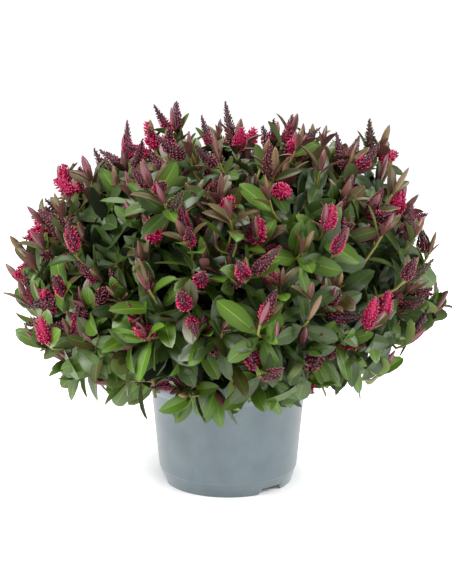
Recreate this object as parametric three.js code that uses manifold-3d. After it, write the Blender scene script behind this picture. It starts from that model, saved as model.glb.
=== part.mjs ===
// A hebe shrub in its round plastic pot. Millimetres, +Z up, the origin on the pot's axis at the
// surface that it stands on, and the front towards -Y.
//
// A short stem stands in the compost and forks into a leader and a ring of boughs. Each of them
// ends where it enters a mass of foliage, and carries a smaller bough to another one. A mass is
// grown by a rule: shoots fan out from its stem to points dealt evenly over the crown, and bear
// crossed pairs of leaves, and flower spikes in pairs.

import * as THREE from 'three';
import { mergeVertices } from 'three/addons/utils/BufferGeometryUtils.js';
import Module from 'manifold-3d';

const wasm = await Module();
wasm.setup();

// ---- driving dimensions ------------------------------------------------------------------------

const CLEARANCE = 0.3; // between pieces that touch
const SLIVERS = [0.001, 0.002]; // no edge of a fused solid is shorter than these

// pot
const POT_HEIGHT = 160;
const RIM_RADIUS = 115;
const RIM_FOOT_Z = 138.5;
const SHOULDER_Z = 127;
const SHOULDER_RADIUS = 103.5;
const FOOT_Z = 19;
const FOOT_RADIUS = 92.5;
const FOOT_LEDGE = 1;
const BASE_RADIUS = 87;
const WALL = 2.2;
const GROOVE_INNER_RADIUS = 60;
const GROOVE_OUTER_RADIUS = 84;
const GROOVE_DEPTH = 9;
const NOTCH_COUNT = 3;
const NOTCH_WIDTH = 41;
const NOTCH_SLANT = 6;
const NOTCH_AZIMUTH = -50; // degrees, of the first one
const POT_SIDES = 36;

// compost
const COMPOST_TOP_Z = 145;

// stem
const STEM_FOOT_Z = COMPOST_TOP_Z + CLEARANCE;
const STEM_FLARE_RADIUS = 21;
const STEM_RADIUS = 12;
const STEM_HEAD_Z = 186;
const STEM_HEAD_RADIUS = 15;
const STEM_LEAN = 0.06; // sideways for each millimetre up
const STEM_SIDES = 16;

// crown
const CROWN_MIDDLE = new THREE.Vector3(3, 0, 225);
const CROWN_RADIUS = 289;
const CROWN_ABOVE = 256;
const CROWN_BELOW = 160;
const CROWN_SQUARENESS_ABOVE = 2.8;
const CROWN_SQUARENESS_BELOW = 1.5;
const CROWN_UNEVENNESS = 0.02;
// Where it stands out or falls back: a heading in degrees, and how far.
const CROWN_SWELLS = [
  { azimuth: 180, elevation: 75, out: 18 }, // the topmost shoot
  { azimuth: 0, elevation: 50, out: 20 },
  { azimuth: 180, elevation: 50, out: -15 },
];
const SWELL_WIDTH = 14; // degrees
const HUB = new THREE.Vector3(0, 0, 228); // where the spaces of the masses meet
// clearances of leaves and shoots from the next mass's space, the pot and the boughs
const SPACE_MARGIN = 1;
const POT_MARGIN = 3;
const BOUGH_MARGIN = 8;

// The masses stand in tiers, each tier a ring round the crown. Angles are in degrees.
const TIERS = [
  { name: 'top', count: 1, elevation: 86, turn: 180 },
  { name: 'upper', count: 5, elevation: 43, turn: 20 },
  { name: 'middle', count: 7, elevation: 4, turn: 0 },
  { name: 'skirt', count: 7, elevation: -25, turn: 26 },
];
const JITTER = 5;

// boughs
const LEADER_RADIUS = 6.5;
const BOUGH_RADIUS = 4.6;
const SIDE_BOUGH_RADIUS = 3.4;
const BOUGH_TIP_RADIUS = 2.3;
const BOUGH_REACH = 0.44; // of the way from the hub to the crown's surface
const LEADER_REACH = 0.5;
const FORKS_ON_LEADER = [0.34, 0.86]; // where its side boughs leave it, first and last
const FORK_ON_BOUGH = 0.36;
const RIM_CROSSING_RADIUS = RIM_RADIUS + 24;
const RIM_CROSSING_Z = POT_HEIGHT + 17;
const LIMB_EASE = 0.4; // how far before its tip a limb or shoot bends, as a share of its length
const BOUGH_SIDES = 6;
const BOUGH_STEPS = 4;

// foliage
const MASS_STEM_REACH = 0.8;
const MASS_STEM_TIP_RADIUS = 1.9;
const TWIG_SIDES = 3;
const SHOOT_COUNT = 60; // over the whole crown
const LOWEST_SHOOT = -40; // degrees below level, seen from the hub
const SHOOT_CROWDING = 0.84; // below 1, they stand closer towards the skirt
const SHOOT_INSET = 62; // of its tip, from the crown's surface
const SHOOT_REACH = [0.97, 1.02]; // of the way to the surface, before the inset
const SHOOT_FORKS = [0.3, 0.92]; // where they leave the mass's stem, first and last
const SHOOT_GATHER = 0.22; // how far the shoots lean in towards the middle of their mass
const SHOOT_LIFT = 0.45; // of a shoot's heading at its tip, added upwards
const SKIRT_TOP = -0.2; // headings from the hub that fall more than this are the skirt's
const SKIRT_DROOP = 0.25; // added downwards there
const SKIRT_CLEARANCE = 30; // between the pot's rim and the tips of shoots that hang over it
const HEM_Z = 88; // nothing hangs lower
const FRONT_HEM_LIFT = 50; // and in front this much less low
const SHOOT_ROOT_RADIUS = 2.2;
const SHOOT_TIP_RADIUS = 1.5;
const LEAF_LENGTH = 92;
const LEAF_WIDTH = 43;
const LEAF_SIZES = [0.92, 1.08]; // smallest and largest, as shares of the length and width
const SKIRT_LEAF_SHARE = 0.84; // of the others' size
const LEAF_THICKNESS = 1.5;
const LEAF_FOLD = 3;
const LEAF_BELLY = 0.46; // where it is widest, along its length
const FIRST_PAIR = 5; // from the shoot's tip
const PAIR_SPACING = 25;
const LEAF_ROOT = 0.15; // off the shoot's middle, so that the roots of a pair don't cross
const PAIR_ANGLES = [40, 64, 84]; // degrees from the shoot, the youngest pair first
// A leaf that doesn't fit is tried again, turned round its shoot by this angle and at this size.
const LEAF_TRIES = [[0, 1], [25, 1], [-25, 1], [0, 0.75], [45, 0.85], [-45, 0.85], [70, 0.7], [-70, 0.7]];
const SPIKE_SHARE = 0.42; // of the shoots that bear a pair of spikes
const SPIKE_LENGTH = 56;
const SPIKE_WIDTH = 17;
const SPIKE_BELLY = 0.34; // where it is widest, along its length
const SPIKE_SIDES = 5;
const SPIKE_PAIR = 1; // they stand in the axils of this pair of leaves
const SPIKE_ANGLE = 36; // degrees from the shoot
const SPIKE_TWIST = 16; // and round it, off the leaf
const SEED = 4127;

const COLOURS = {
  pot: 0x84929a,
  compost: 0x3a2c20,
  bark: 0x6f5f45,
  bough: 0x767042,
  upper: 0x5d6f3a,
  skirt: 0x577434,
};

// ---- small helpers -----------------------------------------------------------------------------

const radians = THREE.MathUtils.degToRad;

/** A repeatable stream of numbers from 0 to 1. */
function seeded(seed) {
  let state = seed >>> 0;
  return () => {
    state = (state + 0x6d2b79f5) >>> 0;
    let mixed = Math.imul(state ^ (state >>> 15), state | 1);
    mixed = (mixed + Math.imul(mixed ^ (mixed >>> 7), mixed | 61)) ^ mixed;
    return ((mixed ^ (mixed >>> 14)) >>> 0) / 4294967296;
  };
}

function direction(azimuth, elevation) {
  const level = Math.cos(radians(elevation));
  return new THREE.Vector3(
    level * Math.cos(radians(azimuth)),
    level * Math.sin(radians(azimuth)),
    Math.sin(radians(elevation)),
  );
}

/** The point this far along a ray. */
function along(start, heading, distance) {
  return start.clone().addScaledVector(heading, distance);
}

/** A unit vector square to the one given. */
function squareTo(heading) {
  const helper = Math.abs(heading.z) < 0.9 ? new THREE.Vector3(0, 0, 1) : new THREE.Vector3(1, 0, 0);
  return helper.cross(heading).normalize();
}

/** A closed geometry as a solid: only positions, with shared vertices merged. */
function solidOf(geometry) {
  const bare = geometry.clone();
  bare.deleteAttribute('normal');
  bare.deleteAttribute('uv');
  const merged = mergeVertices(bare, 1e-4);
  const corners = [];
  for (let i = 0; i < merged.index.count; i += 3) {
    const [a, b, c] = [0, 1, 2].map((step) => merged.index.getX(i + step));
    if (a !== b && b !== c && c !== a) corners.push(a, b, c);
  }
  return new wasm.Manifold(new wasm.Mesh({
    numProp: 3,
    vertProperties: new Float32Array(merged.attributes.position.array),
    triVerts: new Uint32Array(corners),
  }));
}

/** A solid's faces as a geometry. */
function geometryOf(solid) {
  const { vertProperties, triVerts, numProp } = solid.getMesh();
  const positions = new Float32Array((vertProperties.length / numProp) * 3);
  for (let i = 0; i < positions.length / 3; i += 1) {
    positions.set(vertProperties.subarray(i * numProp, i * numProp + 3), i * 3);
  }
  const geometry = new THREE.BufferGeometry();
  geometry.setAttribute('position', new THREE.BufferAttribute(positions, 3));
  geometry.setIndex(new THREE.BufferAttribute(new Uint32Array(triVerts), 1));
  return geometry;
}

/** Whether a solid has no sliver: with near vertices merged, two faces still meet at each edge. */
function isSound(solid, sliver) {
  const { index } = mergeVertices(geometryOf(solid), sliver);
  const uses = new Map();
  for (let i = 0; i < index.count; i += 3) {
    const corners = [0, 1, 2].map((step) => index.getX(i + step));
    for (let side = 0; side < 3; side += 1) {
      const [from, to] = [corners[side], corners[(side + 1) % 3]];
      if (from === to) return false;
      const edge = `${Math.min(from, to)} ${Math.max(from, to)}`;
      uses.set(edge, (uses.get(edge) ?? 0) + 1);
    }
  }
  return [...uses.values()].every((count) => count === 2);
}

/** The largest body of a fused solid, so that loose scraps go and sealed hollows are filled. */
function mainBody(solid) {
  const bodies = solid.decompose();
  return bodies.reduce((largest, body) => (body.volume() > largest.volume() ? body : largest));
}

/** Solids joined one by one into one body, without those that would leave a sliver. */
function fused(solids) {
  return mainBody(solids.reduce((whole, solid) => {
    const grown = whole.add(solid);
    return SLIVERS.every((sliver) => isSound(grown, sliver)) ? grown : whole;
  }));
}

function namedMesh(name, solid, colour, roughness) {
  const geometry = geometryOf(solid);
  geometry.computeVertexNormals();
  const mesh = new THREE.Mesh(geometry, new THREE.MeshStandardMaterial({ color: colour, roughness }));
  mesh.name = name;
  return mesh;
}

/** A solid of revolution round the Z axis, from [radius, height] pairs. */
function turned(profile, sides) {
  const points = profile.map(([radius, height]) => new THREE.Vector2(radius, height));
  return new THREE.LatheGeometry(points, sides).rotateX(Math.PI / 2);
}

/** A round bar with a taper, bent along a curve that lies in one plane. */
function bentBar(curve, rootRadius, tipRadius, sides, steps) {
  const bar = new THREE.CylinderGeometry(tipRadius, rootRadius, 1, sides, steps);
  const start = curve.getTangent(0);
  const across = start.clone().cross(curve.getTangent(1));
  const side = across.length() > 1e-3 ? across.normalize() : squareTo(start);
  const position = bar.attributes.position;
  for (let i = 0; i < position.count; i += 1) {
    const t = Math.min(1, Math.max(0, position.getY(i) + 0.5));
    const other = side.clone().cross(curve.getTangent(t));
    const point = curve.getPoint(t)
      .addScaledVector(side, position.getX(i))
      .addScaledVector(other, position.getZ(i));
    position.setXYZ(i, point.x, point.y, point.z);
  }
  return bar;
}

/** A curve that leaves a point one way and comes to another with a given heading. */
function sweep(start, end, endHeading) {
  const knee = along(end, endHeading, -LIMB_EASE * start.distanceTo(end));
  return new THREE.QuadraticBezierCurve3(start, knee, end);
}

/** Turns a geometry made along +X, with its face to +Z, to lie along a heading. */
function placed(geometry, root, heading, face) {
  const frame = new THREE.Matrix4().makeBasis(heading, face.clone().cross(heading), face);
  return geometry.applyMatrix4(frame.setPosition(root));
}

// ---- pot ---------------------------------------------------------------------------------------

/** The pot's inside, from its rim down to the middle of its floor. */
function potInside(gap) {
  const wall = WALL + gap;
  return [
    [RIM_RADIUS - wall, POT_HEIGHT],
    [RIM_RADIUS - wall, RIM_FOOT_Z + WALL],
    [SHOULDER_RADIUS - wall, SHOULDER_Z + WALL],
    [FOOT_RADIUS - wall, FOOT_Z],
    [FOOT_RADIUS - wall - 1.6, GROOVE_DEPTH + wall],
    [GROOVE_INNER_RADIUS - wall, GROOVE_DEPTH + wall],
    [GROOVE_INNER_RADIUS - wall - 2, wall],
    [0, wall],
  ];
}

function pot() {
  const outside = [
    [0, 0],
    [GROOVE_INNER_RADIUS - 2, 0],
    [GROOVE_INNER_RADIUS, GROOVE_DEPTH],
    [GROOVE_OUTER_RADIUS - 0.5, GROOVE_DEPTH],
    [GROOVE_OUTER_RADIUS, 0],
    [BASE_RADIUS, 0],
    [FOOT_RADIUS, FOOT_Z],
    [FOOT_RADIUS + FOOT_LEDGE, FOOT_Z + FOOT_LEDGE],
    [SHOULDER_RADIUS, SHOULDER_Z],
    [RIM_RADIUS - 1, RIM_FOOT_Z],
    [RIM_RADIUS, RIM_FOOT_Z + 2],
    [RIM_RADIUS, POT_HEIGHT - 1.5],
    [RIM_RADIUS - 0.8, POT_HEIGHT],
  ];
  let body = solidOf(turned([...outside, ...potInside(0)], POT_SIDES));

  // Each notch drains the groove: a trapezium, wide at the bottom, cut through the foot ring.
  const half = NOTCH_WIDTH / 2;
  const notchTop = GROOVE_DEPTH - 0.5;
  const opening = new THREE.Shape([
    new THREE.Vector2(-half, -1),
    new THREE.Vector2(half, -1),
    new THREE.Vector2(half - NOTCH_SLANT, notchTop),
    new THREE.Vector2(-half + NOTCH_SLANT, notchTop),
  ]);
  const depth = 2 * (FOOT_RADIUS - GROOVE_OUTER_RADIUS) + 8;
  for (let i = 0; i < NOTCH_COUNT; i += 1) {
    const cutter = new THREE.ExtrudeGeometry(opening, { depth, bevelEnabled: false })
      .rotateX(Math.PI / 2)
      .rotateZ(Math.PI / 2)
      .translate(GROOVE_OUTER_RADIUS - 8, 0, 0)
      .rotateZ(radians(NOTCH_AZIMUTH + (360 * i) / NOTCH_COUNT));
    body = body.subtract(solidOf(cutter));
  }
  return namedMesh('pot', mainBody(body), COLOURS.pot, 0.55);
}

function compost() {
  const inside = potInside(CLEARANCE)
    .filter(([, height]) => height < COMPOST_TOP_Z)
    .reverse();
  const rim = inside[inside.length - 1][0];
  const profile = [...inside, [rim, COMPOST_TOP_Z], [0, COMPOST_TOP_Z]];
  return namedMesh('compost', solidOf(turned(profile, POT_SIDES)), COLOURS.compost, 0.95);
}

// ---- stem and boughs ---------------------------------------------------------------------------

const neckZ = STEM_HEAD_Z - STEM_HEAD_RADIUS * 0.95;
const stemHead = new THREE.Vector3(STEM_LEAN * (neckZ - STEM_FOOT_Z), 0, STEM_HEAD_Z);

function stem() {
  const profile = [
    [0, STEM_FOOT_Z],
    [STEM_FLARE_RADIUS, STEM_FOOT_Z],
    [STEM_FLARE_RADIUS * 0.76, STEM_FOOT_Z + 5],
    [STEM_RADIUS * 1.08, STEM_FOOT_Z + 14],
    [STEM_RADIUS, neckZ],
  ];
  for (const angle of [-30, -5, 20, 45, 68, 90]) {
    profile.push([
      STEM_HEAD_RADIUS * Math.cos(radians(angle)),
      STEM_HEAD_Z + STEM_HEAD_RADIUS * Math.sin(radians(angle)),
    ]);
  }
  const shape = turned(profile, STEM_SIDES);
  const position = shape.attributes.position;
  for (let i = 0; i < position.count; i += 1) {
    const leaning = Math.min(position.getZ(i), neckZ) - STEM_FOOT_Z;
    position.setX(i, position.getX(i) + STEM_LEAN * leaning);
  }
  return namedMesh('stem', solidOf(shape), COLOURS.bark, 0.9);
}

/** Distance from the hub to the crown's surface, found by halving. */
function crownReach(heading) {
  const azimuth = Math.atan2(heading.y, heading.x);
  const uneven = 1 + CROWN_UNEVENNESS * (Math.sin(3 * azimuth + 0.6) + Math.cos(5 * azimuth + heading.z * 4));
  let [near, far] = [0, 2 * CROWN_RADIUS];
  for (let i = 0; i < 24; i += 1) {
    const distance = (near + far) / 2;
    const offset = along(HUB, heading, distance).sub(CROWN_MIDDLE);
    const above = offset.z > 0;
    const power = above ? CROWN_SQUARENESS_ABOVE : CROWN_SQUARENESS_BELOW;
    const height = Math.abs(offset.z) / (above ? CROWN_ABOVE : CROWN_BELOW);
    const out = Math.hypot(offset.x, offset.y) / CROWN_RADIUS;
    if (out ** power + height ** power < 1) near = distance;
    else far = distance;
  }
  return CROWN_SWELLS.reduce((reach, swell) => {
    const angle = heading.angleTo(direction(swell.azimuth, swell.elevation));
    return reach + swell.out * Math.exp(-((angle / radians(SWELL_WIDTH)) ** 2));
  }, near * uneven);
}

/** One entry for each mass: its name, tier, and the heading of its middle from the hub. */
function layOutMasses() {
  const random = seeded(SEED);
  const masses = [];
  for (const tier of TIERS) {
    const jitter = tier.count > 1 ? JITTER : 0;
    for (let i = 0; i < tier.count; i += 1) {
      const azimuth = tier.turn + (360 * i) / tier.count + jitter * (2 * random() - 1);
      const elevation = tier.elevation + jitter * (2 * random() - 1);
      masses.push({
        name: tier.count > 1 ? `${tier.name}_${i + 1}` : tier.name,
        tier: tier.name,
        place: i,
        azimuth,
        axis: direction(azimuth, elevation),
      });
    }
  }
  return masses;
}

/**
 * A limb that leaves a fork and comes to its tip with a given heading. Its flat root stands off
 * the fork by a reach that depends on the way it sets out.
 */
function limb(fork, reachOf, tip, tipHeading, rootRadius) {
  const knee = along(tip, tipHeading, -LIMB_EASE * fork.distanceTo(tip));
  const heading = knee.clone().sub(fork).normalize();
  const start = along(fork, heading, reachOf(heading));
  const curve = new THREE.QuadraticBezierCurve3(start, knee, tip);
  return { curve, rootRadius, tipRadius: BOUGH_TIP_RADIUS, tipHeading };
}

/** A side bough, which clears the limb that carries it. */
function sideLimb(carrier, t, tip, tipHeading) {
  const carrierRadius = THREE.MathUtils.lerp(carrier.rootRadius, carrier.tipRadius, t);
  const reachOf = (heading) => {
    const angle = carrier.curve.getTangent(t).angleTo(heading);
    const lap = SIDE_BOUGH_RADIUS * Math.abs(Math.cos(angle));
    return (carrierRadius + CLEARANCE + lap) / Math.sin(angle);
  };
  return limb(carrier.curve.getPoint(t), reachOf, tip, tipHeading, SIDE_BOUGH_RADIUS);
}

/** Where a bough ends and its mass begins. */
function boughTip(mass) {
  if (mass.tier === 'skirt') {
    const out = direction(mass.azimuth, 0).multiplyScalar(RIM_CROSSING_RADIUS);
    return out.setZ(RIM_CROSSING_Z);
  }
  const share = mass.tier === 'top' ? LEADER_REACH : BOUGH_REACH;
  return along(HUB, mass.axis, share * crownReach(mass.axis));
}

/** A heading near the mass's own, a little flatter on the skirt, where the bough arches over. */
function boughHeading(mass) {
  return mass.tier === 'skirt' ? direction(mass.azimuth, -8) : mass.axis;
}

function growLimbs(masses) {
  const headLimb = (mass, rootRadius) => {
    const reachOf = () => STEM_HEAD_RADIUS + CLEARANCE;
    return limb(stemHead, reachOf, boughTip(mass), boughHeading(mass), rootRadius);
  };
  const inTier = (name) => masses.filter((mass) => mass.tier === name);
  for (const mass of inTier('top')) mass.limb = headLimb(mass, LEADER_RADIUS);
  for (const mass of inTier('middle')) mass.limb = headLimb(mass, BOUGH_RADIUS);
  const [leader] = inTier('top');
  const upper = inTier('upper');
  for (const mass of upper) {
    const t = THREE.MathUtils.lerp(...FORKS_ON_LEADER, ((mass.place * 2) % upper.length) / upper.length);
    mass.limb = sideLimb(leader.limb, t, boughTip(mass), boughHeading(mass));
  }
  for (const mass of inTier('skirt')) {
    const carrier = inTier('middle').reduce((best, other) => (
      other.axis.dot(mass.axis) > best.axis.dot(mass.axis) ? other : best));
    mass.limb = sideLimb(carrier.limb, FORK_ON_BOUGH, boughTip(mass), boughHeading(mass));
  }
}

function bough(mass) {
  const { curve, rootRadius, tipRadius } = mass.limb;
  const bar = bentBar(curve, rootRadius, tipRadius, BOUGH_SIDES, BOUGH_STEPS);
  const name = mass.tier === 'top' ? 'leader' : `bough_${mass.name}`;
  return namedMesh(name, solidOf(bar), COLOURS.bough, 0.85);
}

// ---- foliage -----------------------------------------------------------------------------------

const masses = layOutMasses();
growLimbs(masses);

/** Whether points keep to a mass's own space, clear of the pot. */
function fits(mass, points) {
  return points.every((point) => {
    const offset = point.clone().sub(HUB);
    const out = Math.hypot(point.x, point.y);
    const hem = HEM_Z + FRONT_HEM_LIFT * Math.max(0, -point.y / out);
    const overPot = out < RIM_RADIUS + POT_MARGIN;
    if (point.z < hem || (overPot && point.z < POT_HEIGHT + POT_MARGIN)) return false;
    return masses.every((other) => {
      if (other === mass) return true;
      const across = mass.axis.clone().sub(other.axis).normalize();
      return offset.dot(across) > SPACE_MARGIN;
    });
  });
}

/** Whether points are clear of every bough. */
function clearOfBoughs(points) {
  return masses.every(({ limb: { curve, rootRadius } }) => (
    curve.getPoints(12).every((centre) => (
      points.every((point) => point.distanceTo(centre) > rootRadius + BOUGH_MARGIN)))));
}

/** Corners of a geometry and points between them, for the tests above. */
function pointsOn(geometry) {
  const position = geometry.attributes.position;
  const corners = Array.from({ length: position.count }, (_, i) => (
    new THREE.Vector3().fromBufferAttribute(position, i)));
  const between = corners.slice(1).flatMap((corner, i) => (
    [0.25, 0.5, 0.75].map((share) => corner.clone().lerp(corners[i], share))));
  return [...corners, ...between];
}

/** A leaf of eight faces, folded along its midrib. */
function leaf(root, heading, face, size) {
  const shape = new THREE.OctahedronGeometry(1);
  const position = shape.attributes.position;
  for (let i = 0; i < position.count; i += 1) {
    const [x, y, z] = [position.getX(i), position.getY(i), position.getZ(i)];
    const middle = Math.abs(x) < 0.5;
    position.setXYZ(
      i,
      size * LEAF_LENGTH * (middle ? LEAF_BELLY : (x + 1) / 2),
      size * (LEAF_WIDTH / 2) * y,
      (LEAF_THICKNESS / 2) * z - (Math.abs(z) > 0.5 ? LEAF_FOLD : 0),
    );
  }
  return placed(shape, root, heading, face);
}

/** A spike of flowers: pointed at both ends, and widest near its foot. */
function spike(root, heading, length) {
  const points = [[0, 0], [SPIKE_WIDTH / 2, SPIKE_BELLY * length], [0, length]];
  const shape = new THREE.LatheGeometry(points.map(([x, y]) => new THREE.Vector2(x, y)), SPIKE_SIDES);
  return placed(shape.rotateZ(-Math.PI / 2), root, heading, squareTo(heading));
}

/** Headings dealt over the part of the sphere that the crown fills, and one for each swell. */
function shootHeadings(count) {
  const lowest = Math.sin(radians(LOWEST_SHOOT));
  const even = Array.from({ length: count }, (_, i) => {
    const height = 1 - ((i + 0.5) / count) ** SHOOT_CROWDING * (1 - lowest);
    const azimuth = i * 180 * (3 - Math.sqrt(5));
    return direction(azimuth, THREE.MathUtils.radToDeg(Math.asin(height)));
  });
  const proud = CROWN_SWELLS.filter(({ out }) => out > 0)
    .map(({ azimuth, elevation }) => direction(azimuth, elevation));
  return [...even, ...proud];
}

/** Where a shoot ends: near the crown's surface, and clear of the pot's rim. */
function shootTip(mass, heading, share) {
  const gathered = heading.clone().lerp(mass.axis, SHOOT_GATHER).normalize();
  const tip = along(HUB, gathered, crownReach(gathered) * share - SHOOT_INSET);
  const out = Math.hypot(tip.x, tip.y);
  const least = tip.z < RIM_CROSSING_Z ? RIM_RADIUS + SKIRT_CLEARANCE : 0;
  return out < least ? tip.multiply(new THREE.Vector3(least / out, least / out, 1)) : tip;
}

/** The way a shoot points at its tip: out of the crown, and a little up, or down on the skirt. */
function tipHeading(heading) {
  const lift = heading.z > SKIRT_TOP ? SHOOT_LIFT : -SKIRT_DROOP;
  return heading.clone().add(new THREE.Vector3(0, 0, lift)).normalize();
}

/** Leaves and spikes at the end of a shoot, those that fit. */
function dressShoot(mass, curve, random) {
  const pieces = [];
  const length = curve.getLength();
  const keep = (geometry) => {
    const points = pointsOn(geometry);
    const good = fits(mass, points) && clearOfBoughs(points);
    if (good) pieces.push(solidOf(geometry));
    return good;
  };
  const scale = mass.tier === 'skirt' ? SKIRT_LEAF_SHARE : 1;
  const roll = 360 * random();
  const flowers = random() < SPIKE_SHARE;
  PAIR_ANGLES.forEach((angle, pair) => {
    const t = 1 - (FIRST_PAIR + PAIR_SPACING * pair) / length;
    const root = curve.getPoint(t);
    const forward = curve.getTangent(t);
    const first = squareTo(forward).applyAxisAngle(forward, radians(roll + 90 * pair));
    for (const side of [first, first.clone().negate()]) {
      const [sine, cosine] = [Math.sin(radians(angle)), Math.cos(radians(angle))];
      const size = scale * THREE.MathUtils.lerp(...LEAF_SIZES, random());
      for (const [twist, share] of LEAF_TRIES) {
        const out = side.clone().applyAxisAngle(forward, radians(twist));
        const leafHeading = forward.clone().multiplyScalar(cosine).addScaledVector(out, sine);
        const face = forward.clone().multiplyScalar(sine).addScaledVector(out, -cosine);
        if (keep(leaf(along(root, leafHeading, LEAF_ROOT), leafHeading, face, share * size))) break;
      }
      if (flowers && pair === SPIKE_PAIR) {
        const tilt = radians(SPIKE_ANGLE);
        const out = side.clone().applyAxisAngle(forward, radians(SPIKE_TWIST));
        const spikeHeading = forward.clone().multiplyScalar(Math.cos(tilt))
          .addScaledVector(out, Math.sin(tilt));
        keep(spike(root, spikeHeading, SPIKE_LENGTH * size));
      }
    }
  });
  return pieces;
}

/** A mass of foliage: its stem, which meets the bough's tip, with its shoots and all they bear. */
function foliage(mass) {
  const random = seeded(SEED + 101 * (1 + masses.indexOf(mass)));
  const start = along(mass.limb.curve.getPoint(1), mass.limb.tipHeading, CLEARANCE);
  const end = along(HUB, mass.axis, MASS_STEM_REACH * crownReach(mass.axis));
  const knee = along(start, mass.limb.tipHeading, 0.5 * start.distanceTo(end));
  const main = new THREE.QuadraticBezierCurve3(start, knee, end);
  const pieces = [solidOf(bentBar(main, BOUGH_TIP_RADIUS, MASS_STEM_TIP_RADIUS, TWIG_SIDES, 3))];
  const nearest = (heading) => masses.reduce((best, other) => (
    other.axis.dot(heading) > best.axis.dot(heading) ? other : best));
  for (const heading of shootHeadings(SHOOT_COUNT)) {
    if (nearest(heading) !== mass) continue;
    const tip = shootTip(mass, heading, THREE.MathUtils.lerp(...SHOOT_REACH, random()));
    const forkAt = THREE.MathUtils.lerp(...SHOOT_FORKS, random());
    const curve = sweep(main.getPoint(forkAt), tip, tipHeading(heading));
    const bar = bentBar(curve, SHOOT_ROOT_RADIUS, SHOOT_TIP_RADIUS, TWIG_SIDES, 2);
    if (!fits(mass, pointsOn(bar))) continue;
    pieces.push(solidOf(bar), ...dressShoot(mass, curve, random));
  }
  const colour = mass.tier === 'skirt' ? COLOURS.skirt : COLOURS.upper;
  return namedMesh(`foliage_${mass.name}`, fused(pieces), colour, 0.6);
}

// ---- the shrub ---------------------------------------------------------------------------------

const shrub = new THREE.Group();
shrub.add(pot(), compost(), stem());
for (const mass of masses) shrub.add(bough(mass), foliage(mass));

export default shrub;
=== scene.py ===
# A hebe shrub in its round plastic pot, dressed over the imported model.
#
# The shrub grows by its solids' rule: a short stem, a leader and boughs, a stem for each mass of
# foliage, and branches that fan out from it. Here these carry finer shoots, with crossed pairs of
# leaves, a leaf bud at the tip and flower spikes in the axils.

from collections import defaultdict
from functools import partial
from math import asin, atan2, cos, degrees, exp, hypot, pi, radians, sin, sqrt, tan

import bmesh
import bpy
from mathutils import Matrix, Vector


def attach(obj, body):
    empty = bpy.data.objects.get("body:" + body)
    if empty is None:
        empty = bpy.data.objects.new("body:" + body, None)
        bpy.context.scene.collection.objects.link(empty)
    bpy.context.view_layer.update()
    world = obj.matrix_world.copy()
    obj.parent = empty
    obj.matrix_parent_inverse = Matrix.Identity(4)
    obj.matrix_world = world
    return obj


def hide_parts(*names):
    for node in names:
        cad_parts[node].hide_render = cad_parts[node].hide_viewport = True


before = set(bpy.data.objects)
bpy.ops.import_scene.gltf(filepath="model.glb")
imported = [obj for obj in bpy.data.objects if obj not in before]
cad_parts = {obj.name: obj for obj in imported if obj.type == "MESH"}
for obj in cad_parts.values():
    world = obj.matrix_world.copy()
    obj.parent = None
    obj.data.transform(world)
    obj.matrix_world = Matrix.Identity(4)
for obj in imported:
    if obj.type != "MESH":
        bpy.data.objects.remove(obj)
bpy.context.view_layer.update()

MM = 0.001  # every size below is in millimetres, and the scene is in metres
UP = Vector((0, 0, 1))

# ---- sizes of the pot ----

POT_HEIGHT = 160
RIM_RADIUS = 115
RIM_FOOT_Z = 138.5
SHOULDER_Z = 127
SHOULDER_RADIUS = 103.5
FOOT_Z = 19
FOOT_RADIUS = 92.5
FOOT_LEDGE = 1
BASE_RADIUS = 87
WALL = 2.2
GROOVE_INNER = 60
GROOVE_OUTER = 84
GROOVE_DEPTH = 9
NOTCH_COUNT = 3
NOTCH_WIDTH = 41
NOTCH_SLANT = 6
NOTCH_AZIMUTH = -50
POT_SIDES = 144
POT_EDGE = 0.7  # radius of its moulded edges
COMPOST_TOP_Z = 145
CLEARANCE = 0.3

# ---- sizes of the stem and the crown, as in the solids ----

STEM_FOOT_Z = COMPOST_TOP_Z + CLEARANCE
STEM_FLARE_RADIUS = 21
STEM_RADIUS = 12
STEM_HEAD_Z = 186
STEM_HEAD_RADIUS = 15
STEM_LEAN = 0.06
CROWN_MIDDLE = Vector((3, 0, 225))
CROWN_RADIUS = 289
CROWN_HEIGHTS = (160, 256)  # below and above its middle
CROWN_SQUARENESS = (1.5, 2.8)  # the power of its outline, likewise
CROWN_UNEVENNESS = 0.02
# Where it stands out or falls back: azimuth and elevation in degrees, and how far.
CROWN_SWELLS = [(180, 75, 18), (0, 50, 20), (180, 50, -15)]
SWELL_WIDTH = 14
HUB = UP * 228
# Each tier of masses: how many, their elevation and the first one's azimuth, in degrees.
TIERS = [("top", 1, 86, 180), ("upper", 5, 43, 20), ("middle", 7, 4, 0), ("skirt", 7, -25, 26)]
JITTER = 5
LEADER_RADIUS = 6.5
BOUGH_RADIUS = 4.6
SIDE_BOUGH_RADIUS = 3.4
BOUGH_TIP_RADIUS = 2.3
BOUGH_REACH = 0.44  # to where its mass begins, of the crown's reach
LEADER_REACH = 0.5
FORKS_ON_LEADER = (0.34, 0.86)
FORK_ON_BOUGH = 0.36
RIM_CROSSING_RADIUS = RIM_RADIUS + 24
RIM_CROSSING_Z = POT_HEIGHT + 17
LIMB_EASE = 0.4  # how far back from its tip a limb's knee is, of its length
MASS_STEM_REACH = 0.8
MASS_STEM_RADII = (BOUGH_TIP_RADIUS, 1.9)
BRANCH_COUNT = 60
LOWEST_SHOOT = -40
SHOOT_CROWDING = 0.84  # below 1 there are fewer towards the top
BRANCH_INSET = 62
BRANCH_REACH = (0.97, 1.02)
BRANCH_FORKS = (0.3, 0.92)
SHOOT_GATHER = 0.22  # of the way towards the middle of its mass
SHOOT_LIFTS = (-0.25, 0.45)  # of their headings at the tip, on the skirt and above it
SKIRT_TOP = -0.2
SKIRT_CLEARANCE = 30
BRANCH_RADII = (2.2, 1.5)
SEED = 4127
SPRAY_SEEDS = (SEED + 1000, 17)  # of the first shoot's own stream, and the step to the next one's

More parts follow.
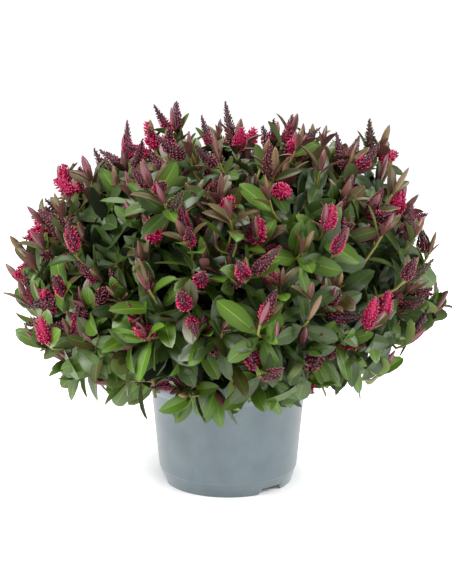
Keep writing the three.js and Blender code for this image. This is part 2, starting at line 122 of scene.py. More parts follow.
# ---- sizes of the finer growth ----

SHOOT_COUNT = 560
SHOOT_SCATTER = 0.08  # sideways, of a heading's length
SHOOT_FORKS = (0.3, 0.95)  # where they leave their branch
SHOOT_INSET = 36  # of a shoot's tip, from the crown's surface, back the way it points
SHOOT_REACH = (-46, 4)  # of its bud, past the crown's surface
PROUD_SHARE = 0.22  # of the shoots; these stand out from the rest
# Of that reach: on the crown's swells, of the shoots that stand out, and the most of the rest.
REACH_SHARES = (1.15, 1.05, 0.82)
SHOOT_STRAY = 6  # how much more a shoot's pointing strays than its place
FINE_LIFTS = (0.55, 1.15)
SLACK = 9  # how far a leaf may reach past the crown's surface
SWELL_SLACK = 14  # and how much further on the shoots of the swells
THIN_TOP = 14  # and how much less at the top, where buds and spikes stand free of the leaves
SHOOT_RADII = (2.3, 1.6)
# Where the finer growth stands out or falls back besides: azimuth, elevation, and how far.
FINE_SWELLS = [
    (0, 18, -30), (-28, -10, -28), (90, 62, -8), (-4, -4, 22), (-2, -17, -24), (-6, -32, 26),
    (182, 1, 26), (180, 42, 12), (180, 60, -14), (0, 33, -24), (0, 57, 14), (180, -12, -40),
    (190, -28, 44)]
HEM_Z = 126  # how low the skirt's leaves reach
HEM_LIFTS = (4, 64)  # how much higher its hem is on the right and in front
HEM_WAVE = 5  # how far it goes up and down, round the crown
LOOSE_SHARE = 0.42  # of the shoots; their leaves hang below the hem
LOOSE_HEM = 12  # by this
# And by more in some places: azimuth, elevation, and how far.
HANGS = [(-114, 0, 50), (-90, 0, 50), (-66, 0, 50), (192, 0, 38), (216, 0, 30), (-28, 0, 44)]
HEM_DEPTH = 95  # above the hem; over it the leaves sag less and less
HEM_MARGIN = 20  # of a shoot's own tip, above the hem
SKIRT_SAG = 2.2  # of the lowest leaves' heading, added downwards
POT_MARGIN = 3  # between the pot and the leaves

BUD_LENGTH = 36
BUD_WIDTH = 10.5
LEAF_LENGTH = 54
LEAF_WIDTH = 21.5
LEAF_THICKNESS = 0.7
YOUNG_LEAF = (42, 11)  # length and width
YOUNG_ANGLES = (22, 38)  # degrees, to its shoot
NARROW_LEAF = (24, 6)
NARROW_ANGLES = (12, 22)
# A leaf's half width along its length, as shares.
LEAF_OUTLINE = [(0, 0), (0.09, 0.27), (0.28, 0.77), (0.55, 1), (0.78, 0.84), (0.93, 0.46), (1, 0)]
# Lines along its upper side, as shares of the half width. The midrib lies between the middle two.
LEAF_LINES = (-1, -0.6, -0.07, 0.07, 0.6, 1)
SMALL_LEAF_LINES = (-1, -0.1, 0.1, 1)
# How many degrees its halves are folded up, its arch as a share of its length, and its twist.
LEAF_BENDS = {
    "level": (14, 0.08, 0),
    "arched": (18, 0.2, 10),
    "hooked": (20, 0.32, -12),
    "turned": (12, 0.14, 26),
}
# Each pair of full-grown leaves: its distance from the shoot's tip, and its angle to the shoot.
PAIRS = [
    (12, 42), (26, 54), (41, 64), (56, 72), (72, 78), (88, 82), (105, 85), (124, 88), (144, 90)]
BRANCH_PAIRS = [(distance, 70) for distance in range(0, 220, 8)]
LEAFY_PART = 0.8  # of a shoot's length, from its tip
BRANCH_LEAFY_PART = 0.85
BRANCH_LEAF = (0.1, 1.25)  # sag and size
BRANCH_LIMITS = (-20, 0)  # past the crown's surface and below its hem
LEAF_STRAY = (24, 14)  # degrees, round its shoot and away from it
GREEN_PART = 32  # of a branch, from its tip; the leaves further in are in deep shade
DARK_PART = 64  # of a shoot, from its tip, are its leaves darker, partly as older leaves and partly as painted shade
SHADED_PART = 100  # and in deep shade
LEAST_LEAVES = 4  # on a shoot; one with no room for these isn't grown
LEAF_SCALES = (1.14, 0.86)  # on the skirt and at the top
LEAF_LEVELS = (130, 460)  # where the leaves are largest and smallest
SHOOT_LEVELS = (130, 430)  # where the shoots are those of the skirt and those of the top
SPIKE_SHARES = (0.2, 0.72)  # of the shoots that bear spikes, on the skirt and at the top
SPIKE_LENGTHS = (32, 48)
SPIKE_STALK = 10
SPIKE_RADIUS = 8  # where it is widest
SPIKE_OUTLINE = (0.62, 0.94, 1, 0.88, 0.7, 0.52, 0.36, 0.2)  # its radius along it, as shares
SPIKE_ANGLES = (22, 50)
SPIKE_TURN = 16  # degrees, of its place round the shoot, from its leaf's
SPIKE_FLOWERS = 112
SPIKE_TURNS = 137.5  # degrees, from one flower to the next
SPIKE_CORE = 0.68  # its radius, as a share of the spike's
# Up to which share of the spikes are all maroon, all closed, opening and in full bloom.
SPIKE_STAGES = (0.25, 0.38, 0.74, 0.96)
FLOWER_SIZES = [(5.4, 3.3), (8, 2.6)]  # length and width of a closed flower and of a floret
BUD_OUTLINE = [(0, 0), (0.05, 0.4), (0.26, 0.84), (0.52, 1), (0.76, 0.78), (0.92, 0.36), (1, 0)]
FLOWER_OUTLINE = [(0, 0), (0.6, 1), (0.9, 0.46), (1, 0)]
CRUMB_COUNT = 900

# Each flower's body, and its tip, which is lighter as a painted highlight.
FLOWER_KINDS = {
    "dark": ("#3a1420", "#94545c"),
    "maroon": ("#641830", "#c06c78"),
    "crimson": ("#b00f4e", "#ee6c9c"),
    "withered": ("#444420", "#8c8646"),
}
# Each leaf bud's side and its seam.
BUD_KINDS = {
    "mauve": ("#7a414a", "#522a2c"),
    "brown": ("#6b4238", "#48302a"),
    "olive": ("#6e5836", "#5c3f30"),
}

# ---- small helpers ----


def seeded(seed):
    """A repeatable stream of numbers from 0 to 1, the same as the solids'."""
    state = seed & 0xFFFFFFFF

    def draw():
        nonlocal state
        state = (state + 0x6D2B79F5) & 0xFFFFFFFF
        mixed = ((state ^ (state >> 15)) * (state | 1)) & 0xFFFFFFFF
        mixed = ((mixed + ((mixed ^ (mixed >> 7)) * (mixed | 61))) ^ mixed) & 0xFFFFFFFF
        return (mixed ^ (mixed >> 14)) / 4294967296

    return draw


def between(limits, share):
    """The value this share of the way from the first limit to the last."""
    return limits[0] + (limits[1] - limits[0]) * share


def share_of(limits, value):
    """How far a value is from the first limit to the last, as a share."""
    return (value - limits[0]) / (limits[1] - limits[0])


def held_in(value, most=1):
    """The value, or 0 or the most where it lies beyond them."""
    return min(most, max(0, value))


def direction(azimuth, elevation):
    """The unit vector that points there, from degrees."""
    turn, up = radians(azimuth), radians(elevation)
    return Vector((cos(up) * cos(turn), cos(up) * sin(turn), sin(up)))


def square_to(heading):
    """A unit vector square to the one given."""
    helper = UP if abs(heading.z) < 0.9 else Vector((1, 0, 0))
    return helper.cross(heading).normalized()


def turned_about(vector, axis, angle):
    return Matrix.Rotation(radians(angle), 3, axis) @ vector


def to_linear(colour):
    """An sRGB hex colour as the linear colour that a socket takes."""
    channels = [int(colour[i:i + 2], 16) / 255 for i in (1, 3, 5)]
    return (*(c / 12.92 if c <= 0.04045 else ((c + 0.055) / 1.055) ** 2.4 for c in channels), 1)


def feed(tree, node, inputs):
    """Gives inputs values, or links from an output or from a node's first one."""
    for key, source in inputs.items():
        if isinstance(source, bpy.types.Node):
            source = source.outputs[0]
        if isinstance(source, bpy.types.NodeSocket):
            tree.links.new(source, node.inputs[key])
        else:
            node.inputs[key].default_value = source


def add_node(tree, kind, inputs=None, **settings):
    """Adds a node with its settings, and feeds its inputs."""
    node = tree.nodes.new(kind)
    for name, value in settings.items():
        setattr(node, name, value)
    feed(tree, node, inputs or {})
    return node


class Bend:
    """A quadratic curve from a start, towards a knee, to an end."""

    def __init__(self, start, knee, end):
        self.start, self.knee, self.end = start, knee, end

    def point(self, t):
        return self.start * (1 - t) ** 2 + self.knee * (2 * t * (1 - t)) + self.end * t ** 2

    def heading(self, t):
        slope = (self.knee - self.start) * (1 - t) + (self.end - self.knee) * t
        return slope.normalized()

    def points(self, steps):
        return [self.point(i / steps) for i in range(steps + 1)]

    def length(self):
        points = self.points(12)
        return sum((b - a).length for a, b in zip(points, points[1:]))


def sweep(start, end, end_heading):
    """A curve that comes to its end with a given heading."""
    return Bend(start, end - end_heading * (LIMB_EASE * (end - start).length), end)


def tapered(curve, steps, radii):
    """Points along a curve, and the radii there."""
    return curve.points(steps), [between(radii, i / steps) for i in range(steps + 1)]


# ---- the limbs, by the solids' rule ----

neck_z = STEM_HEAD_Z - STEM_HEAD_RADIUS * 0.95
stem_head = Vector((STEM_LEAN * (neck_z - STEM_FOOT_Z), 0, STEM_HEAD_Z))


def crown_reach(heading):
    """Distance from the hub to the crown's surface, found by halving."""
    azimuth = atan2(heading.y, heading.x)
    wave = sin(3 * azimuth + 0.6) + cos(5 * azimuth + heading.z * 4)
    near, far = 0, 2 * CROWN_RADIUS
    for _ in range(24):
        distance = (near + far) / 2
        offset = HUB + heading * distance - CROWN_MIDDLE
        above = offset.z > 0
        power = CROWN_SQUARENESS[above]
        height = abs(offset.z) / CROWN_HEIGHTS[above]
        out = hypot(offset.x, offset.y) / CROWN_RADIUS
        if out ** power + height ** power < 1:
            near = distance
        else:
            far = distance
    return near * (1 + CROWN_UNEVENNESS * wave) + swell(heading, CROWN_SWELLS)


def swell(heading, swells):
    """How far the crown stands out under a heading, from swells that fade sideways."""
    out = 0
    for azimuth, elevation, most in swells:
        angle = degrees(heading.angle(direction(azimuth, elevation)))
        out += most * exp(-((angle / SWELL_WIDTH) ** 2))
    return out


def lay_out_masses():
    """One entry for each mass: its tier, and the heading of its middle from the hub."""
    random = seeded(SEED)
    masses = []
    for tier, count, up, turn in TIERS:
        jitter = JITTER if count > 1 else 0
        for place in range(count):
            azimuth = turn + 360 * place / count + jitter * (2 * random() - 1)
            axis = direction(azimuth, up + jitter * (2 * random() - 1))
            masses.append({"tier": tier, "place": place, "azimuth": azimuth, "axis": axis})
    return masses


def bough_tip(mass):
    """Where a bough ends and its mass begins."""
    if mass["tier"] == "skirt":
        out = direction(mass["azimuth"], 0) * RIM_CROSSING_RADIUS
        return Vector((out.x, out.y, RIM_CROSSING_Z))
    share = LEADER_REACH if mass["tier"] == "top" else BOUGH_REACH
    return HUB + mass["axis"] * (share * crown_reach(mass["axis"]))


def bough_heading(mass):
    return direction(mass["azimuth"], -8) if mass["tier"] == "skirt" else mass["axis"]


def limb(mass, fork, reach_of, root_radius):
    """A mass's limb: its fork, its curve, clear of what carries it, and its root's radius."""
    curve = sweep(fork, bough_tip(mass), bough_heading(mass))
    heading = (curve.knee - fork).normalized()
    curve.start = fork + heading * reach_of(heading)
    return fork, curve, root_radius


def side_limb(mass, carrier, t):
    """A side bough, which clears the limb that carries it."""
    _, curve, root_radius = carrier
    radius = between((root_radius, BOUGH_TIP_RADIUS), t)

    def reach_of(heading):
        angle = curve.heading(t).angle(heading)
        lap = SIDE_BOUGH_RADIUS * abs(cos(angle))
        return (radius + CLEARANCE + lap) / sin(angle)

    return limb(mass, curve.point(t), reach_of, SIDE_BOUGH_RADIUS)


def grow_limbs(masses):
    """The leader, the boughs and the stem of each mass."""
    def in_tier(name):
        return [mass for mass in masses if mass["tier"] == name]

    def off_head(mass, radius):
        return limb(mass, stem_head, lambda heading: STEM_HEAD_RADIUS + CLEARANCE, radius)

    leader = in_tier("top")[0]
    leader["limb"] = off_head(leader, LEADER_RADIUS)
    for mass in in_tier("middle"):
        mass["limb"] = off_head(mass, BOUGH_RADIUS)
    upper = in_tier("upper")
    for mass in upper:
        t = between(FORKS_ON_LEADER, mass["place"] * 2 % len(upper) / len(upper))
        mass["limb"] = side_limb(mass, leader["limb"], t)
    for mass in in_tier("skirt"):
        carrier = nearest(in_tier("middle"), mass["axis"])["limb"]
        mass["limb"] = side_limb(mass, carrier, FORK_ON_BOUGH)
    for mass in masses:
        start = bough_tip(mass)
        end = HUB + mass["axis"] * (MASS_STEM_REACH * crown_reach(mass["axis"]))
        knee = start + bough_heading(mass) * (0.5 * (end - start).length)
        mass["stem"] = Bend(start, knee, end)


# ---- branches and shoots, by the same rule ----


def shoot_headings(count):
    """Headings dealt over the crown's part of the sphere, and one for each swell that stands out.
    """
    lowest = sin(radians(LOWEST_SHOOT))
    headings = []
    for i in range(count):
        height = 1 - ((i + 0.5) / count) ** SHOOT_CROWDING * (1 - lowest)
        headings.append(direction(i * 180 * (3 - sqrt(5)), degrees(asin(height))))
    return headings + [direction(azimuth, up) for azimuth, up, out in CROWN_SWELLS if out > 0]


def fine_reach(heading):
    return crown_reach(heading) + swell(heading, FINE_SWELLS)


def shoot_tip(axis, heading, share, inset, reach=crown_reach):
    """Where a shoot ends: near the crown's surface, clear of the pot's rim."""
    gathered = heading.lerp(axis, SHOOT_GATHER).normalized()
    tip = HUB + gathered * (reach(gathered) * share - inset)
    out = hypot(tip.x, tip.y)
    least = RIM_RADIUS + SKIRT_CLEARANCE if tip.z < RIM_CROSSING_Z else 0
    if out < least:
        tip.x, tip.y = tip.x * least / out, tip.y * least / out
    return tip


def lifted(heading, lifts, stray=Vector()):
    """The way a shoot points at its tip: its heading, lifted."""
    lift = lifts[heading.z > SKIRT_TOP]
    return (heading + UP * lift + stray).normalized()


def nearest(items, heading):
    return max(items, key=lambda item: item["axis"].dot(heading))


def grow_branches(masses):
    random = seeded(SEED + 1)
    branches = []
    for heading in shoot_headings(BRANCH_COUNT):
        mass = nearest(masses, heading)
        tip = shoot_tip(mass["axis"], heading, between(BRANCH_REACH, random()), BRANCH_INSET)
        fork = mass["stem"].point(between(BRANCH_FORKS, random()))
        branches.append({"axis": heading, "curve": sweep(fork, tip, lifted(heading, SHOOT_LIFTS))})
    return branches


def hem_at(point, loose=0):
    """How low the skirt hangs there, for a shoot from tight, 0, to loose, 1."""
    out = hypot(point.x, point.y)
    right, front = max(0, point.x / out), max(0, -point.y / out)
    azimuth = atan2(point.y, point.x)
    wave = sin(9 * azimuth + 1) + cos(5 * azimuth)
    hem = HEM_Z + HEM_LIFTS[0] * right + HEM_LIFTS[1] * front + HEM_WAVE * wave
    level = Vector((point.x, point.y, 0)).normalized()
    return hem - loose * (LOOSE_HEM + swell(level, HANGS))


def grow_shoots(branches):
    """The finer shoots, each with its curve and its leaves' limits."""
    random = seeded(SEED + 2)
    shoots = []
    for i, even in enumerate(shoot_headings(SHOOT_COUNT)):
        on_swell = i >= SHOOT_COUNT
        stray = Vector([2 * random() - 1 for _ in range(3)]) * (0 if on_swell else SHOOT_SCATTER)
        heading = (even + stray).normalized()
        branch = nearest(branches, heading)
        pointing = lifted(heading, FINE_LIFTS, stray * SHOOT_STRAY)
        if on_swell:
            share = REACH_SHARES[0]
        else:
            share = REACH_SHARES[1] if random() < PROUD_SHARE else REACH_SHARES[2] * random()
        inset = -between(SHOOT_REACH, share)
        tip = shoot_tip(heading, heading, 1, inset, fine_reach) - pointing * SHOOT_INSET
        loose = 1 if random() < LOOSE_SHARE else 0.2 * random()
        tip.z = max(tip.z, hem_at(tip, 0.5 * loose) + HEM_MARGIN)
        fork = branch["curve"].point(between(SHOOT_FORKS, random()))
        shoots.append({
            "curve": sweep(fork, tip, pointing),
            "limits": (SLACK + (SWELL_SLACK if on_swell else 0), loose),
            "on_swell": on_swell,
        })
    return shoots


# ---- what a shoot bears ----


def has_room(point, slack, loose):
    """Whether a point is clear of the pot, above the hem and within the crown."""
    near_pot = hypot(point.x, point.y) < RIM_RADIUS + POT_MARGIN
    if point.z < hem_at(point, loose) or (near_pot and point.z < POT_HEIGHT + POT_MARGIN):
        return False
    offset = point - HUB
    return offset.length < fine_reach(offset.normalized()) + slack


def leaf_attitude(forward, out, angle, sag):
    """A leaf's heading and the way its face looks, at an angle to its shoot."""
    sine, cosine = sin(radians(angle)), cos(radians(angle))
    heading = (forward * cosine + out * sine - UP * sag).normalized()
    face = forward * sine - out * cosine
    face = (face - heading * face.dot(heading)).normalized()
    return heading, face


def grow_leaf(root, forward, out, angle, sag, size, kind, limits, growth, random):
    """One full-grown leaf, where it has room."""
    side = turned_about(out, forward, LEAF_STRAY[0] * (random() - 0.5))
    heading, face = leaf_attitude(forward, side, angle + LEAF_STRAY[1] * (random() - 0.5), sag)
    size *= between(LEAF_SCALES, held_in(share_of(LEAF_LEVELS, root.z)))
    tip = root + heading * LEAF_LENGTH * size
    if has_room(tip, *limits) and has_room(root.lerp(tip, 0.5), *limits):
        growth["leaf", kind].append((int(random() * 4), root, heading, face, size))


def places(curve, pairs, part, roll):
    """Each pair's number, distance, angle and root, and the way along and out, for both sides."""
    length = curve.length()
    for pair, (distance, angle) in enumerate(pairs):
        if distance > part * length:
            break
        t = 1 - distance / length
        root, forward = curve.point(t), curve.heading(t)
        across = turned_about(square_to(forward), forward, roll + 90 * pair)
        yield pair, distance, angle, root, forward, across
        yield pair, distance, angle, root, forward, -across


def dress_branch(curve, growth, random):
    """Old leaves on a branch, close together, so that the crown isn't seen through."""
    roll = 360 * random()
    for _, distance, angle, *place in places(curve, BRANCH_PAIRS, BRANCH_LEAFY_PART, roll):
        # the near-black leaves further in are painted shade
        kind = "deep_green" if distance < GREEN_PART else "shaded"
        grow_leaf(*place, angle, *BRANCH_LEAF, kind, BRANCH_LIMITS, growth, random)


def dress_shoot(shoot, growth, random):
    """A shoot's stalk, its bud and young leaves, its leaf pairs and its spikes."""
    curve, limits = shoot["curve"], shoot["limits"]
    roll = 360 * random()
    high = share_of(SHOOT_LEVELS, curve.end.z)
    thinned = 0 if shoot["on_swell"] else THIN_TOP * held_in(high)
    leaf_limits = limits[0] - thinned, limits[1]
    low = max(0, 1 - (curve.end.z - hem_at(curve.end)) / HEM_DEPTH)
    kinds, young_kinds = SPRAY_KINDS[held_in(int(3 * (high + 0.25 * (random() - 0.5))), 2)]
    old_kind = kinds[int(random() * len(kinds))]
    young_kind = young_kinds[int(random() * len(young_kinds))]
    bud_kind = list(BUD_KINDS)[int(random() * len(BUD_KINDS))]
    growth["stalks"].append(tapered(curve, 8, SHOOT_RADII))

    # the bud of closed leaves, with a narrow pair and a young pair beside it
    end, forward = curve.end, curve.heading(1)
    first = turned_about(square_to(forward), forward, roll)
    if has_room(end + forward * BUD_LENGTH, *limits):
        growth["bud", bud_kind].append((0, end, forward, first, 0.8 + 0.35 * random()))
        for side in (first, -first):
            heading, face = leaf_attitude(forward, side, between(NARROW_ANGLES, random()), 0)
            if random() < 0.6:
                growth["young leaves"].append((0, end, heading, face, 0.8 + 0.35 * random()))
    second = turned_about(first, forward, 90)
    for side in (second, -second):
        heading, face = leaf_attitude(forward, side, between(YOUNG_ANGLES, random()), 0)
        root = end - forward * 4
        if low > 0.2:
            grow_leaf(root, forward, side, 26, 0.3 * low, 0.8, young_kind, limits, growth, random)
        elif has_room(root + heading * YOUNG_LEAF[0], *limits) and random() < 0.7:
            growth["young leaves"].append((1, root, heading, face, 0.85 + 0.3 * random()))

    flowers = shoot["on_swell"] or random() < between(SPIKE_SHARES, held_in(1.6 * high))
    spike_pair = 0 if random() < 0.65 else 1
    for pair, distance, angle, root, forward, side in places(curve, PAIRS, LEAFY_PART, roll):
        size = 0.88 + 0.26 * random() if pair else 0.8 + 0.16 * random()
        sag = 0.06 * pair * random() + SKIRT_SAG * low * (0.25 + 0.75 * random())
        kind = old_kind if pair else young_kind
        # further back, the deep green is partly older leaves' own colour and partly painted shade;
        # the near-black is painted shade
        if distance > DARK_PART:
            kind = "shaded" if distance > SHADED_PART else "deep_green"
        grow_leaf(root, forward, side, angle, sag, size, kind, leaf_limits, growth, random)
        if flowers and pair == spike_pair and random() < 0.9:
            tilt = between(SPIKE_ANGLES, random())
            out = turned_about(side, forward, SPIKE_TURN)
            grow_spike(root, leaf_attitude(forward, out, tilt, 0)[0], limits, growth, random)


def grow_spike(root, heading, limits, growth, random):
    """A cone of flowers in a spiral: buds at its tip, open florets at its foot."""
    stage = random()
    all_maroon, closed, opening, blooming = SPIKE_STAGES
    spent = stage > blooming
    full = opening < stage < blooming
    opened = 0 if stage < closed else 0.3 + 0.4 * random()
    if full:
        opened = 0.72 + 0.3 * random()
    plump = (0.8 + 0.25 * random()) * (1.25 if full else 1)
    length = between(SPIKE_LENGTHS, random()) * (0.78 if full else 1)
    if not has_room(root + heading * (length + SPIKE_STALK), *limits):
        return
    whole = length + SPIKE_STALK
    lift = UP * ((0.5 * random() - 0.1) * length)
    stalk = Bend(root, root + heading * (0.55 * whole), root + heading * whole + lift)
    span = (SPIKE_STALK / whole, 0.98)  # of the stalk, that the flowers cover
    growth["stalks"].append((stalk.points(5), [1.0, 0.95, 0.9, 0.8, 0.6, 0.4]))

    def radius(share):
        place = share * (len(SPIKE_OUTLINE) - 1)
        low = min(int(place), len(SPIKE_OUTLINE) - 2)
        wide = between(SPIKE_OUTLINE[low:low + 2], place - low)
        return plump * SPIKE_RADIUS * (wide ** 0.75 if full else wide)

    growth["core", "crimson" if full else "dark"].append((
        [stalk.point(between(span, i / 6)) for i in range(7)],
        [SPIKE_CORE * radius(i / 6) for i in range(7)],
    ))
    count = SPIKE_FLOWERS * (0.85 if full else 1)
    for i in range(int(count)):
        share = 1 - (1 - (i + 0.5) / count) ** 0.62  # closer together where the spike is wide
        t = between(span, share)
        along = stalk.heading(t)
        out = turned_about(square_to(along), along, i * SPIKE_TURNS + 24 * (random() - 0.5))
        in_bloom = share < opened
        lean = 0.2 + 0.5 * random() + (0.9 if in_bloom else 2.2) * share
        aim = (out + along * lean).normalized()
        scale = plump * (1.08 - 0.5 * share) * (0.8 + 0.4 * random())
        depth = 0.72 * FLOWER_SIZES[in_bloom][0] * scale * aim.dot(out)
        middle = stalk.point(t) + out * (radius(share) - depth)
        if spent:
            kind = "withered"
        elif in_bloom:
            kind = "crimson"
        else:
            kind = "maroon" if share < opened + 0.45 or stage < all_maroon else "dark"
        growth["flower", kind].append((int(in_bloom), middle, aim, along, scale))


# ---- Geometry Nodes trees ----

SCRATCH_ATTRIBUTES = ("thickness", "turn", "size", "shape", "skin")


def new_tree(name, sockets):
    """A tree for a geometry, a way to add nodes to it, and its inputs."""
    tree = bpy.data.node_groups.new(name, "GeometryNodeTree")
    for way in ("INPUT", "OUTPUT"):
        tree.interface.new_socket("Geometry", in_out=way, socket_type="NodeSocketGeometry")
    for socket, kind in sockets.items():
        tree.interface.new_socket(socket, in_out="INPUT", socket_type=f"NodeSocket{kind}")
    return tree, partial(add_node, tree), add_node(tree, "NodeGroupInput")


def held(add, name, kind="FLOAT"):
    """What the points or faces of a mesh hold under a name."""
    return add("GeometryNodeInputNamedAttribute", {"Name": name}, data_type=kind)


def round_stems_tree():
    """Round bars along chains of edges, as thick as their points say, with a bark's relief."""
    tree, add, given = new_tree("Round stems", {
        "Sides": "Int", "Step": "Float", "Relief": "Float", "Relief size": "Float",
        "Material": "Material"})
    chains = add("GeometryNodeMeshToCurve", {"Mesh": given})
    even = add("GeometryNodeResampleCurve", {
        "Curve": chains, "Length": given.outputs["Step"]}, mode="LENGTH")
    ring = add("GeometryNodeCurvePrimitiveCircle", {
        "Radius": 1, "Resolution": given.outputs["Sides"]})
    bars = add("GeometryNodeCurveToMesh", {
        "Curve": even, "Profile Curve": ring, "Scale": held(add, "thickness"), "Fill Caps": True})
    knobs = add("ShaderNodeTexNoise", {"Scale": given.outputs["Relief size"], "Detail": 3})
    centred = add("ShaderNodeMath", {0: knobs, 1: 0.5}, operation="SUBTRACT")
    height = add("ShaderNodeMath", {0: centred, 1: given.outputs["Relief"]}, operation="MULTIPLY")
    outwards = add("GeometryNodeInputNormal")
    offset = add("ShaderNodeVectorMath", {0: outwards, "Scale": height}, operation="SCALE")
    relief = add("GeometryNodeSetPosition", {"Geometry": bars, "Offset": offset})
    smooth = add("GeometryNodeSetShadeSmooth", {0: relief})
    real = add("GeometryNodeRealizeInstances", {0: smooth})
    finished = add("GeometryNodeSetMaterial", {
        "Geometry": real, "Material": given.outputs["Material"]})
    add("NodeGroupOutput", {0: finished})
    return tree


def sprinkle_tree(skins):
    """A shape from a collection on each point, by its turn, size and shape, in several skins."""
    tree, add, given = new_tree(f"Sprinkle in {skins} skins", {
        "Shapes": "Collection", **{f"Skin {i}": "Material" for i in range(skins)}})
    shapes = add("GeometryNodeCollectionInfo", {
        "Collection": given.outputs["Shapes"], "Separate Children": True, "Reset Children": True})
    rotation = add("FunctionNodeEulerToRotation", {0: held(add, "turn", "FLOAT_VECTOR")})
    placed = add("GeometryNodeInstanceOnPoints", {
        "Points": given,
        "Instance": shapes,
        "Pick Instance": True,
        "Instance Index": held(add, "shape", "INT"),
        "Rotation": rotation,
        "Scale": held(add, "size")})
    geometry = add("GeometryNodeRealizeInstances", {0: placed})
    skin = held(add, "skin", "INT")
    for i in range(skins):
        chosen = add("FunctionNodeCompare", {2: skin, 3: i}, data_type="INT", operation="EQUAL")
        geometry = add("GeometryNodeSetMaterial", {
            "Geometry": geometry, "Selection": chosen, "Material": given.outputs[f"Skin {i}"]})
    add("NodeGroupOutput", {0: geometry})
    return tree


def new_object(name, data):
    thing = bpy.data.objects.new(name, data)
    bpy.context.scene.collection.objects.link(thing)
    return thing


def settled(holder, name):
    """What an object's modifiers make of it, as a plain new object."""
    bpy.context.view_layer.update()
    graph = bpy.context.evaluated_depsgraph_get()
    mesh = bpy.data.meshes.new_from_object(
        holder.evaluated_get(graph), preserve_all_data_layers=True, depsgraph=graph)
    bpy.data.objects.remove(holder)
    for spare in [a.name for a in mesh.attributes if a.name in SCRATCH_ATTRIBUTES]:
        mesh.attributes.remove(mesh.attributes[spare])
    mesh.name = name
    return new_object(name, mesh)


def grown(name, mesh, tree, **inputs):
    """A piece that a tree makes from a mesh of points or edges."""
    holder = new_object(f"{name} points", mesh)
    modifier = holder.modifiers.new("Growth", "NODES")
    modifier.node_group = tree
    for item in tree.interface.items_tree:
        key = item.name.replace(" ", "_").lower()
        if item.item_type == "SOCKET" and item.in_out == "INPUT" and key in inputs:
            modifier[item.identifier] = inputs[key]
    return settled(holder, name)


def hold(mesh, name, kind, values):
    """Gives each point of a mesh its value under a name."""
    field = "vector" if kind == "FLOAT_VECTOR" else "value"
    mesh.attributes.new(name, kind, "POINT").data.foreach_set(field, values)


def stems(name, paths, material, sides=6, step=12, relief=0.0, grain=3.0):
    """Round bars along paths, each a list of points and a list of radii."""
    points, edges, radii = [], [], []
    for path, widths in paths:
        edges += [(len(points) + i, len(points) + i + 1) for i in range(len(path) - 1)]
        points += [point * MM for point in path]
        radii += [width * MM for width in widths]
    mesh = bpy.data.meshes.new(name)
    mesh.from_pydata(points, edges, [])
    hold(mesh, "thickness", "FLOAT", radii)
    return grown(name, mesh, trees["stems"], sides=sides, step=step * MM, relief=relief * MM,
                 relief_size=1 / (grain * MM), material=material)


def sprinkled(name, placed, shapes, materials):
    """Shapes, each by its number, root, heading along +X, face to +Z, and size."""
    mesh = bpy.data.meshes.new(name)
    mesh.from_pydata([root * MM for _, root, *_ in placed], [], [])
    turns = []
    for _, _, heading, face, _ in placed:
        side = face.cross(heading).normalized()
        turns += Matrix((heading, side, heading.cross(side))).transposed().to_euler()
    hold(mesh, "turn", "FLOAT_VECTOR", turns)
    hold(mesh, "shape", "INT", [each[0] for each in placed])
    hold(mesh, "size", "FLOAT", [each[4] for each in placed])
    skins = {f"skin_{i}": material for i, material in enumerate(materials)}
    return grown(name, mesh, trees[len(materials)], shapes=shapes, **skins)


# ---- shapes that repeat ----


def mesh_of(name, shape):
    """A mesh from a shape, which is used up, its faces outwards."""
    bmesh.ops.recalc_face_normals(shape, faces=shape.faces)
    mesh = bpy.data.meshes.new(name)
    shape.to_mesh(mesh)
    shape.free()
    return mesh


def circle(sides):
    return [(cos(2 * pi * k / sides), sin(2 * pi * k / sides)) for k in range(sides)]


def join_rings(shape, rings):
    """Faces between rings of corners, with the numbers of their ring and side."""
    made = []
    for row, (ring, after) in enumerate(zip(rings, rings[1:])):
        for k in range(len(ring)):
            following = (k + 1) % len(ring)
            corners = [ring[k], after[k], after[following], ring[following]]
            made.append((row, k, shape.faces.new(list(dict.fromkeys(corners)))))
    return made


def shape_mesh(name, shape, sharp=False):
    """A shape's mesh, smooth, or sharp where its underside begins."""
    layer = shape.faces.layers.int.get("skin")
    for face in shape.faces:
        face.smooth = True
    for edge in shape.edges:
        skins = {face[layer] for face in edge.link_faces}
        edge.smooth = not (sharp and 1 in skins and len(skins) > 1)
    return mesh_of(name, shape)


def leaf_shape(name, length, width, lines, fold, arch, twist):
    """A leaf along +X with its face up; skins: upper 0, underside 1, midrib 2, its margins 3."""
    shape = bmesh.new()
    layer = shape.faces.layers.int.new("skin")

    def corner(along, wide, share, lift):
        y = share * wide * width / 2
        puff = 2 * abs(share) - share ** 2  # each half is puffed up between midrib and edge
        z = lift * LEAF_THICKNESS / 2 + puff * wide * width / 2 * tan(radians(fold))
        bent = turned_about(Vector((0, y, z)), Vector((1, 0, 0)), twist * along)
        drop = arch * length * along ** 2
        return Vector((length * along * (1 - 0.3 * arch * along), bent.y, bent.z - drop)) * MM

    rows = []
    for along, wide in LEAF_OUTLINE:
        if wide == 0:
            rows.append(([shape.verts.new(corner(along, 0, 0, 0))] * len(lines), None))
            continue
        upper = [shape.verts.new(corner(along, wide, line, abs(line) < 1)) for line in lines]
        rows.append((upper, shape.verts.new(corner(along, wide, 0, -1))))

    def panel(a, b, c, d, skin):
        shape.faces.new(list(dict.fromkeys([a, b, c, d])))[layer] = skin

    last = len(lines) - 2
    for (upper, under), (next_upper, next_under) in zip(rows, rows[1:]):
        for k in range(last + 1):
            skin = 2 if 2 * k == last else 3 if k in (0, last) and last > 2 else 0
            panel(upper[k], next_upper[k], next_upper[k + 1], upper[k + 1], skin)
        below, next_below = under or upper[0], next_under or next_upper[0]
        panel(upper[0], below, next_below, next_upper[0], 1)
        panel(below, upper[-1], next_upper[-1], next_below, 1)
    return shape_mesh(name, shape, sharp=True)


